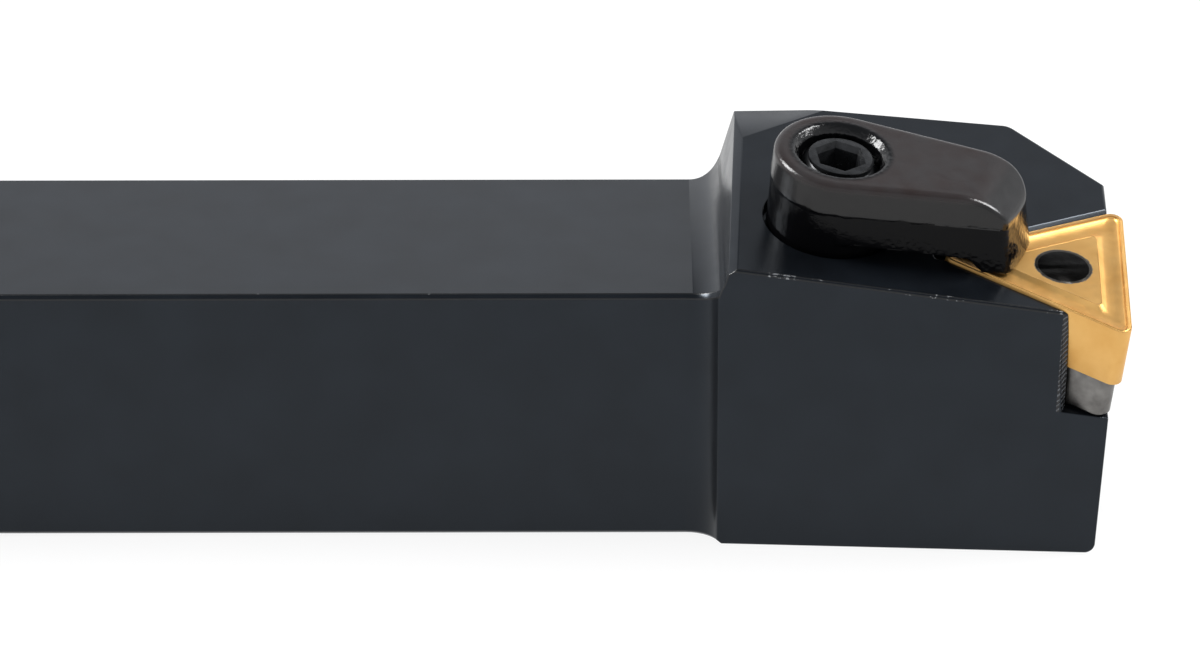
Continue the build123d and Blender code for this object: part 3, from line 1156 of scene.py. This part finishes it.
@dataclass
class Insert:
    """The triangular insert: land, chip groove and raised centre on both sides, with a bore."""

    place: Place
    inscribed: float = 9.525
    thickness: float = 4.76
    nose: float = 0.8
    bore: float = 1.905
    bore_edge: float = 0.22
    hone: float = 0.04
    hone_belly: float = 0.3
    hone_rest: float = 1.6
    land: float = 0.3
    groove: tuple[tuple[float, float, float], ...] = (
        (0.52, 0.55, -0.13),
        (0.8, 0.42, -0.235),
        (1.1, 0.32, -0.28),
        (1.4, 0.3, -0.285),
        (1.62, 0.3, -0.275),
        (1.78, 0.3, -0.23),
        (2.0, 0.3, -0.04),
        (2.04, 0.3, -0.012),
        (2.09, 0.3, 0.0),
        (2.16, 0.3, 0.0),
    )
    nose_steps: int = 10
    seam: float = 0.001
    smooth_angle: float = 28.0

    def ring(
        self, bm: bmesh.types.BMesh, inset: float, corner: float, height: float
    ) -> Edges:
        """A level three-cornered ring with rounded corners.

        Args:
            bm: the mesh.
            inset: how far its sides lie inside the insert's.
            corner: its corners' radius.
            height: its Z.

        Returns:
            Its edges.
        """
        reach = 2 * (self.inscribed / 2 - inset) - 2 * corner
        sweep = FULL_TURN / TRIANGLE_SIDES
        ends: list[tuple[bmesh.types.BMVert, bmesh.types.BMVert]] = []
        edges: Edges = []
        for corner_angle in (math.pi, -math.pi / 3, math.pi / 3):
            toward = Vector((math.cos(corner_angle), math.sin(corner_angle), 0))
            centre = toward * reach + Vector((0, 0, height))
            start_angle = corner_angle - sweep / 2
            out = Vector((math.cos(start_angle), math.sin(start_angle), 0)) * corner
            first = bm.verts.new(centre + out)
            turned = bmesh.ops.spin(
                bm, geom=[first], cent=centre, axis=(0, 0, 1), angle=sweep,
                steps=self.nose_steps, use_duplicate=False,
            )
            last = next(g for g in turned["geom_last"] if isinstance(g, bmesh.types.BMVert))
            ends.append((first, last))
        for (_, last), (first, _) in zip(ends, ends[1:] + ends[:1]):
            edges.append(bm.edges.new((last, first)))
        seen = set(edges)
        front = list(edges)
        while front:
            edge = front.pop()
            for vert in edge.verts:
                for other in vert.link_edges:
                    if other not in seen:
                        seen.add(other)
                        front.append(other)
        return list(seen)

    def build(self) -> bpy.types.Object:
        """Makes the upper half, mirrors it and dresses the whole.

        Returns:
            The finished object.
        """
        bm = bmesh.new()
        middle = -self.thickness / 2
        belly, rest = self.hone * self.hone_belly, self.hone * self.hone_rest
        edge = (
            (0, middle), (0, -self.hone), (belly, -belly), (self.hone, 0), (rest, 0),
            (self.land, 0),
        )
        rings = [self.ring(bm, inset, self.nose - inset, height) for inset, height in edge]
        rings += [self.ring(bm, inset, corner, height) for inset, corner, height in self.groove]
        rings += [
            round_ring(bm, self.bore + self.bore_edge + self.hone, 0),
            round_ring(bm, self.bore + self.bore_edge, 0),
            round_ring(bm, self.bore, -self.bore_edge),
            round_ring(bm, self.bore, middle),
        ]
        skin(bm, rings)
        bmesh.ops.mirror(
            bm, geom=list(bm.verts) + list(bm.edges) + list(bm.faces),
            matrix=Matrix.Translation((0, 0, -middle)), merge_dist=self.seam, axis="Z",
        )
        bmesh.ops.remove_doubles(bm, verts=bm.verts, dist=self.seam)
        bmesh.ops.recalc_face_normals(bm, faces=bm.faces)
        bmesh.ops.transform(bm, matrix=self.place.matrix, verts=bm.verts)
        made = finish_mesh(bm, "dressed_insert", self.smooth_angle)
        made.data.materials.append(GoldNitride(place=self.place).build())
        return made


@dataclass
class Thread:
    """A screw thread's wall about the Z axis, from one height to another."""

    radius: float
    pitch: float
    bottom: float
    top: float
    hand: Hand = Hand.RIGHT
    depth_share: float = 0.6
    root_end: float = 0.06
    crest_start: float = 0.44
    crest_end: float = 0.62
    steps: int = 32
    seam: float = 0.004
    near: float = 0.01

    def build(
        self, bm: bmesh.types.BMesh
    ) -> tuple[Edges, Edges]:
        """Winds the wall and cuts it level at both ends.

        Args:
            bm: the mesh.

        Returns:
            The edges of its lower and its upper end.
        """
        before = set(bm.verts)
        self.wind(bm)
        wound = [v for v in bm.verts if v not in before]
        bmesh.ops.remove_doubles(bm, verts=wound, dist=self.seam)
        for height, keep_above in ((self.bottom, True), (self.top, False)):
            wound = [v for v in bm.verts if v not in before]
            around = {g for v in wound for g in (*v.link_edges, *v.link_faces)}
            bmesh.ops.bisect_plane(
                bm, geom=wound + list(around), dist=WELD, plane_co=(0, 0, height),
                plane_no=(0, 0, 1), clear_inner=keep_above, clear_outer=not keep_above,
            )
        wound = [v for v in bm.verts if v not in before]
        loose = {e for v in wound for e in v.link_edges if e.is_boundary}
        lower, upper = (
            [e for e in loose if all(abs(v.co.z - end) < self.near for v in e.verts)]
            for end in (self.bottom, self.top)
        )
        return lower, upper

    def wind(self, bm: bmesh.types.BMesh) -> None:
        """Winds the thread's profile, from a turn below its foot to a turn past its top.

        Args:
            bm: the mesh.
        """
        depth = self.depth_share * self.pitch
        turns = math.ceil((self.top - self.bottom) / self.pitch) + 2
        profile = (
            (0, -depth), (self.root_end, -depth), (self.crest_start, 0), (self.crest_end, 0),
            (1, -depth),
        )
        start = self.bottom - self.pitch
        line = [
            bm.verts.new((self.radius + out, 0, start + up * self.pitch)) for up, out in profile
        ]
        edges = [bm.edges.new(pair) for pair in zip(line, line[1:])]
        bmesh.ops.spin(
            bm, geom=line + edges, cent=(0, 0, 0), axis=(0, 0, 1),
            dvec=(0, 0, self.pitch / self.steps), angle=self.hand.value * FULL_TURN * turns,
            steps=self.steps * turns, use_duplicate=False,
        )


def hold_inside(bm: bmesh.types.BMesh, limit: Callable[[float], float]) -> None:
    """Pulls points in to the largest radius that a height allows.

    Args:
        bm: the mesh, about the Z axis.
        limit: gives the largest radius at a height.
    """
    for vert in bm.verts:
        radius = math.hypot(vert.co.x, vert.co.y)
        allowed = limit(vert.co.z)
        if radius > allowed:
            vert.co.x *= allowed / radius
            vert.co.y *= allowed / radius


@dataclass
class ClampScrew:
    """The double-ended screw: left-hand thread above, right-hand below, a key socket in each end."""

    place: Place
    radius: float = 3.0
    pitch: float = 1.0
    top: float = 5.7
    length: float = 16.0
    waist_top: float = -0.2
    waist_length: float = 1.8
    waist_radius: float = 2.3
    waist_edge: float = 0.4
    point_radius: float = 2.35
    point_length: float = 1.0
    key: float = 3.0
    key_depth: float = 3.0
    key_turn: float = 8.0
    mouth: float = 0.45
    drill_tip: float = 0.05
    drill_share: float = 0.25
    rim: float = 0.02
    rim_inset: float = 0.06
    smooth_angle: float = 25.0

    def largest_radius(self, height: float) -> float:
        """Gives the radius that the ends' tapers leave at a height.

        Args:
            height: the height in the screw's place.

        Returns:
            The largest radius.
        """
        bottom = self.top - self.length
        inward = min(self.top - height, height - bottom)
        taper = (self.radius - self.point_radius) / self.point_length
        end = self.point_radius + taper * max(inward, 0.0)
        return min(self.radius, end)

    def socket(
        self, bm: bmesh.types.BMesh, top: float, down: float
    ) -> list[Edges]:
        """Rings of a key socket from its mouth to its floor.

        Args:
            bm: the mesh.
            top: the end face's height.
            down: -1 for a socket that goes down, 1 for one that goes up.

        Returns:
            The rings in order.
        """
        floor = top + down * self.key_depth
        return [
            key_ring(bm, self.key + self.mouth, top, self.key_turn),
            key_ring(bm, self.key, top + down * self.mouth, self.key_turn),
            key_ring(bm, self.key, floor, self.key_turn),
            round_ring(
                bm, self.drill_tip, floor + down * self.key * self.drill_share,
                sides=HEXAGON_SIDES,
            ),
        ]

    def build(self) -> bpy.types.Object:
        """Makes both threads, the waist and the sockets, and dresses the whole.

        Returns:
            The finished object.
        """
        bm = bmesh.new()
        bottom = self.top - self.length
        waist_bottom = self.waist_top - self.waist_length
        edge = self.waist_edge
        low_start, low_end = Thread(
            self.radius, self.pitch, bottom + self.rim, waist_bottom - edge / 2, Hand.RIGHT
        ).build(bm)
        high_start, high_end = Thread(
            self.radius, self.pitch, self.waist_top + edge / 2, self.top - self.rim, Hand.LEFT
        ).build(bm)
        waist = [
            round_ring(bm, self.waist_radius, waist_bottom),
            round_ring(bm, self.waist_radius, self.waist_top),
        ]
        hold_inside(bm, self.largest_radius)
        skin(bm, [low_end, *waist, high_start])
        top_rim = round_ring(bm, self.point_radius - self.rim_inset, self.top)
        bottom_rim = round_ring(bm, self.point_radius - self.rim_inset, bottom)
        upper = [high_end, top_rim, *self.socket(bm, self.top, -1)]
        lower = [low_start, bottom_rim, *self.socket(bm, bottom, 1)]
        for rings in (upper, lower):
            skin(bm, rings)
            cap(bm, rings[-1])
        bmesh.ops.recalc_face_normals(bm, faces=bm.faces)
        bmesh.ops.transform(bm, matrix=self.place.matrix, verts=bm.verts)
        made = finish_mesh(bm, "dressed_clamp_screw", self.smooth_angle)
        made.data.materials.append(OiledScrewSteel(place=self.place).build())
        return made


@dataclass
class LockPin:
    """The pin through shim and insert: thread, collar and an eccentric head with a key socket."""

    place: Place
    thread_radius: float = 2.0
    pitch: float = 0.7
    thread_bottom: float = -14.76
    thread_top: float = -8.46
    foot: float = 1.2
    waist: float = 1.75
    waist_start: float = 0.05
    collar: float = 2.7
    collar_bottom: float = -5.91
    collar_top: float = -4.81
    head: float = 1.6
    head_top: float = -1.75
    head_edge: float = 0.2
    offset: float = -0.25
    key: float = 1.6
    key_depth: float = 1.8
    smooth_angle: float = 25.0

    def build(self) -> bpy.types.Object:
        """Makes the pin as one closed skin and dresses it.

        Returns:
            The finished object.
        """
        bm = bmesh.new()
        start, end = Thread(
            self.thread_radius, self.pitch, self.thread_bottom, self.thread_top
        ).build(bm)
        top, offset = self.head_top, self.offset
        rings = [
            end,
            round_ring(bm, self.waist, self.thread_top + self.waist_start),
            round_ring(bm, self.waist, self.collar_bottom),
            round_ring(bm, self.collar, self.collar_top),
            round_ring(bm, self.head, self.collar_top, offset),
            round_ring(bm, self.head, top - self.head_edge, offset),
            round_ring(bm, self.head - self.head_edge, top, offset),
            key_ring(bm, self.key, top, 0.0, offset),
            key_ring(bm, self.key, top - self.key_depth, 0.0, offset),
        ]
        skin(bm, rings)
        cap(bm, rings[-1])
        foot = round_ring(bm, self.foot, self.thread_bottom)
        skin(bm, [start, foot])
        cap(bm, foot)
        bmesh.ops.recalc_face_normals(bm, faces=bm.faces)
        bmesh.ops.transform(bm, matrix=self.place.matrix, verts=bm.verts)
        made = finish_mesh(bm, "dressed_lock_pin", self.smooth_angle)
        # painted highlight: the pin is painted much lighter than the screw, so that it shows bright
        # in the dark bore
        finish = OiledScrewSteel(
            name="pin_steel_lightened_as_painted_highlight", place=self.place, dark="#4a4b4d", light="#77797b"
        )
        made.data.materials.append(finish.build())
        return made


@dataclass
class Clamp:
    """The forged clamp: a boss round the screw and a finger that presses on the insert."""

    place: Place
    voxel: float = 0.1
    smoothing: int = 3
    smoothing_share: float = 0.5
    parting: float = 3.8
    oily_below: float = 0.1
    lip: float = 0.05
    lip_fade: float = 0.25
    lip_wander: float = 0.18
    lip_wander_size: float = 1.3
    smooth_radius: float = 3.4
    knob_size: float = 0.3
    knob_height: float = 0.022
    knob_falloff: float = 1.0
    knob_ratio: float = 2.0
    knob_octaves: int = 3
    finger_start: float = 2.0
    finger_run: float = 3.0
    boss_share: float = 0.25
    skin_size: float = 0.9
    skin_height: float = 0.01

    def build(self, node: bpy.types.Object) -> bpy.types.Object:
        """Remeshes the solid evenly, rounds its edges, roughens its skin and dresses it.

        Args:
            node: the solid it stands for.

        Returns:
            The finished object.
        """
        bm = self.even_blank(node)
        for _ in range(self.smoothing):
            bmesh.ops.smooth_vert(
                bm, verts=bm.verts, factor=self.smoothing_share, use_axis_x=True,
                use_axis_y=True, use_axis_z=True,
            )
        bm.normal_update()
        for face in bm.faces:
            if face.calc_center_median().z < self.parting - self.oily_below:
                face.material_index = ClampSkin.OILY
        self.roughen(bm)
        bmesh.ops.transform(bm, matrix=self.place.matrix, verts=bm.verts)
        made = finish_mesh(bm, "dressed_clamp", ALL_SMOOTH)
        # Both finishes paint the faces below the parting line and in the dish black as painted
        # shade; the lower one also reflects less.
        upper = ForgedSteel(place=self.place, parting=self.parting)
        lower = ForgedSteel(
            name="oily_forging_with_painted_shade", place=self.place, parting=self.parting, oil_gloss=0.1
        )
        for finish in (upper, lower):
            made.data.materials.append(finish.build())
        return made

    def even_blank(self, node: bpy.types.Object) -> bmesh.types.BMesh:
        """Remeshes the solid with faces of one size.

        Args:
            node: the solid.

        Returns:
            The mesh in the clamp's own frame, in millimetres.
        """
        bm = merged_copy(node)
        bmesh.ops.transform(bm, matrix=self.place.matrix.inverted(), verts=bm.verts)
        mesh = bpy.data.meshes.new("clamp_blank")
        bm.to_mesh(mesh)
        bm.free()
        blank = bpy.data.objects.new("clamp_blank", mesh)
        bpy.context.scene.collection.objects.link(blank)
        remesh = blank.modifiers.new("even", "REMESH")
        remesh.mode = "VOXEL"
        remesh.voxel_size = self.voxel
        shaped = blank.evaluated_get(bpy.context.evaluated_depsgraph_get())
        even = bmesh.new()
        even.from_mesh(shaped.to_mesh())
        shaped.to_mesh_clear()
        bpy.data.objects.remove(blank)
        return even

    def roughen(self, bm: bmesh.types.BMesh) -> None:
        """Gives the side below the parting line its knobs, and the rest a gentler skin.

        Args:
            bm: the mesh in the clamp's own frame, in millimetres.
        """
        moves = []
        for vert in bm.verts:
            here = vert.co
            wander = self.lip_wander * noise.noise(here / self.lip_wander_size)
            below = (self.parting + wander - here.z) / self.lip_fade
            side = min(max(below, 0.0), 1.0) * (1.0 - abs(vert.normal.z))
            along = (here.x - self.finger_start) / self.finger_run
            finger = min(max(along, self.boss_share), 1.0)
            knobs = noise.fractal(
                here / self.knob_size, self.knob_falloff, self.knob_ratio, self.knob_octaves
            )
            cut_back = side * (self.knob_height * knobs * finger - self.lip)
            uneven = self.skin_height * noise.noise(here / self.skin_size)
            sunk = min(cut_back, 0.0) + min(uneven, 0.0)
            outer = math.hypot(here.x, here.y) > self.smooth_radius
            moves.append(vert.normal * (sunk if outer else 0.0))
        for vert, move in zip(bm.verts, moves):
            vert.co += move


@dataclass
class Studio:
    """Floor, light and camera."""

    focal_pixels: float = 5975.8
    width_pixels: float = 1200.0
    distance: float = 0.45
    elevation: float = 26.953
    roll: float = -0.1
    target: tuple[float, float, float] = (39.618, 0.0, 12.56)
    sensor: float = 36.0
    clip: tuple[float, float] = (0.01, 20.0)
    floor_size: float = 6.0
    softbox: tuple[float, float] = (0.26, 0.34)
    left_place: tuple[float, float, float] = (-0.485, 0.105, 0.447)
    left_power: float = 7.0
    right_place: tuple[float, float, float] = (0.565, 0.07, 0.447)
    right_power: float = 6.0
    wall: str = "#f7f9fd"
    ceiling: str = "#a0a4a9"
    ceiling_from: float = 0.5
    ceiling_to: float = 0.75
    room_strength: float = 0.86

    def build(self) -> None:
        """Makes the paper floor, the world, the lamps and the camera."""
        self.floor()
        self.world()
        self.lamp("left_softbox", self.left_place, self.left_power)
        self.lamp("right_softbox", self.right_place, self.right_power)
        self.camera()

    def floor(self) -> None:
        """Makes the paper floor under the tool."""
        bm = bmesh.new()
        bmesh.ops.create_grid(bm, x_segments=1, y_segments=1, size=self.floor_size / 2)
        paper = finish_mesh(bm, "paper_floor")
        paper.data.materials.append(StudioPaper().build())

    def world(self) -> None:
        """Makes the white room: white at eye level, dimmer overhead."""
        world = bpy.data.worlds.new("white_room")
        bpy.context.scene.world = world
        world.use_nodes = True
        tree = world.node_tree
        tree.nodes.clear()
        coordinates = add_node(tree, "ShaderNodeTexCoord")
        parts = add_node(
            tree, "ShaderNodeSeparateXYZ", {}, {"Vector": coordinates.outputs["Generated"]}
        )
        overhead = add_node(
            tree, "ShaderNodeMapRange", SMOOTH,
            {
                "Value": parts.outputs["Z"],
                "From Min": self.ceiling_from,
                "From Max": self.ceiling_to,
            },
        )
        colour = add_node(
            tree, "ShaderNodeMix", COLOURS,
            {
                0: overhead.outputs["Result"],
                MIX_A: linear(self.wall),
                MIX_B: linear(self.ceiling),
            },
        )
        background = add_node(
            tree, "ShaderNodeBackground", {},
            {"Color": colour.outputs[MIX_COLOUR], "Strength": self.room_strength},
        )
        add_node(tree, "ShaderNodeOutputWorld", {}, {"Surface": background.outputs[0]})

    def lamp(self, name: str, place: tuple[float, float, float], power: float) -> None:
        """Adds a softbox that faces the middle of the view.

        Args:
            name: its name.
            place: where it stands, in metres.
            power: its power in watts.
        """
        light = bpy.data.lights.new(name, "AREA")
        light.shape = "RECTANGLE"
        light.size, light.size_y = self.softbox
        light.energy = power
        lamp = bpy.data.objects.new(name, light)
        bpy.context.scene.collection.objects.link(lamp)
        facing = Vector(self.target) * MM - Vector(place)
        turned = facing.to_track_quat("-Z", "Y").to_matrix().to_4x4()
        lamp.matrix_world = Matrix.Translation(place) @ turned

    def camera(self) -> None:
        """Stands the camera in front of the tool, looking down at it."""
        tilt = math.radians(self.elevation)
        forward = Vector((0, math.cos(tilt), -math.sin(tilt)))
        right = Vector((1, 0, 0))
        up = right.cross(forward)
        roll = math.radians(self.roll)
        turned_right = math.cos(roll) * right + math.sin(roll) * up
        turned_up = math.cos(roll) * up - math.sin(roll) * right
        place = Vector(self.target) * MM - forward * self.distance
        rows = [(r, u, -f, p) for r, u, f, p in zip(turned_right, turned_up, forward, place)]
        data = bpy.data.cameras.new("view")
        data.sensor_width = self.sensor
        data.lens = self.focal_pixels * self.sensor / self.width_pixels
        data.clip_start, data.clip_end = self.clip
        view = bpy.data.objects.new("view", data)
        bpy.context.scene.collection.objects.link(view)
        view.matrix_world = Matrix([*rows, (0, 0, 0, 1)])
        bpy.context.scene.camera = view
        bpy.context.scene.view_settings.view_transform = "Standard"


def joint_place(frame: dict, name: str, turn: float = 0.0) -> Place:
    """Finds the frame that a joint's axis stands in.

    Args:
        name: the joint's name.
        turn: degrees about the axis.

    Returns:
        The place on the axis.
    """
    joint = next(j for j in frame["joints"] if j["name"] == name)
    return Place(Vector(joint["pos_m"]), Vector(joint["axis"]).normalized(), turn)


def settle(piece: bpy.types.Object, body: str, node: str) -> None:
    """Ties a finished piece to its body and hides the solid that it stands for.

    Args:
        piece: the finished object.
        body: the body it rides on.
        node: the solid it stands for.
    """
    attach(piece, body)
    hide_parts(node)
    LOG.info("%s: %d faces, rides on %s", piece.name, len(piece.data.polygons), body)


def main() -> None:
    """Builds the tool holder in order, then the studio."""
    logging.basicConfig(level=logging.INFO, format="%(name)s: %(message)s")
    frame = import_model()
    nodes = frame["nodes"]
    clamp_place = joint_place(frame, "screw_turn")
    insert_place = joint_place(frame, "pin_turn", INSERT_TURN)
    settle(HolderBody().build(nodes["holder_body"]), "holder", "holder_body")
    settle(Shim(insert_place).build(nodes["shim"]), "holder", "shim")
    settle(Insert(insert_place).build(), "holder", "insert")
    settle(LockPin(insert_place).build(), "lock_pin", "lock_pin")
    settle(Clamp(clamp_place).build(nodes["clamp"]), "clamp", "clamp")
    settle(ClampScrew(clamp_place).build(), "clamp_screw", "clamp_screw")
    Studio().build()


if __name__ == "__main__":
    main()
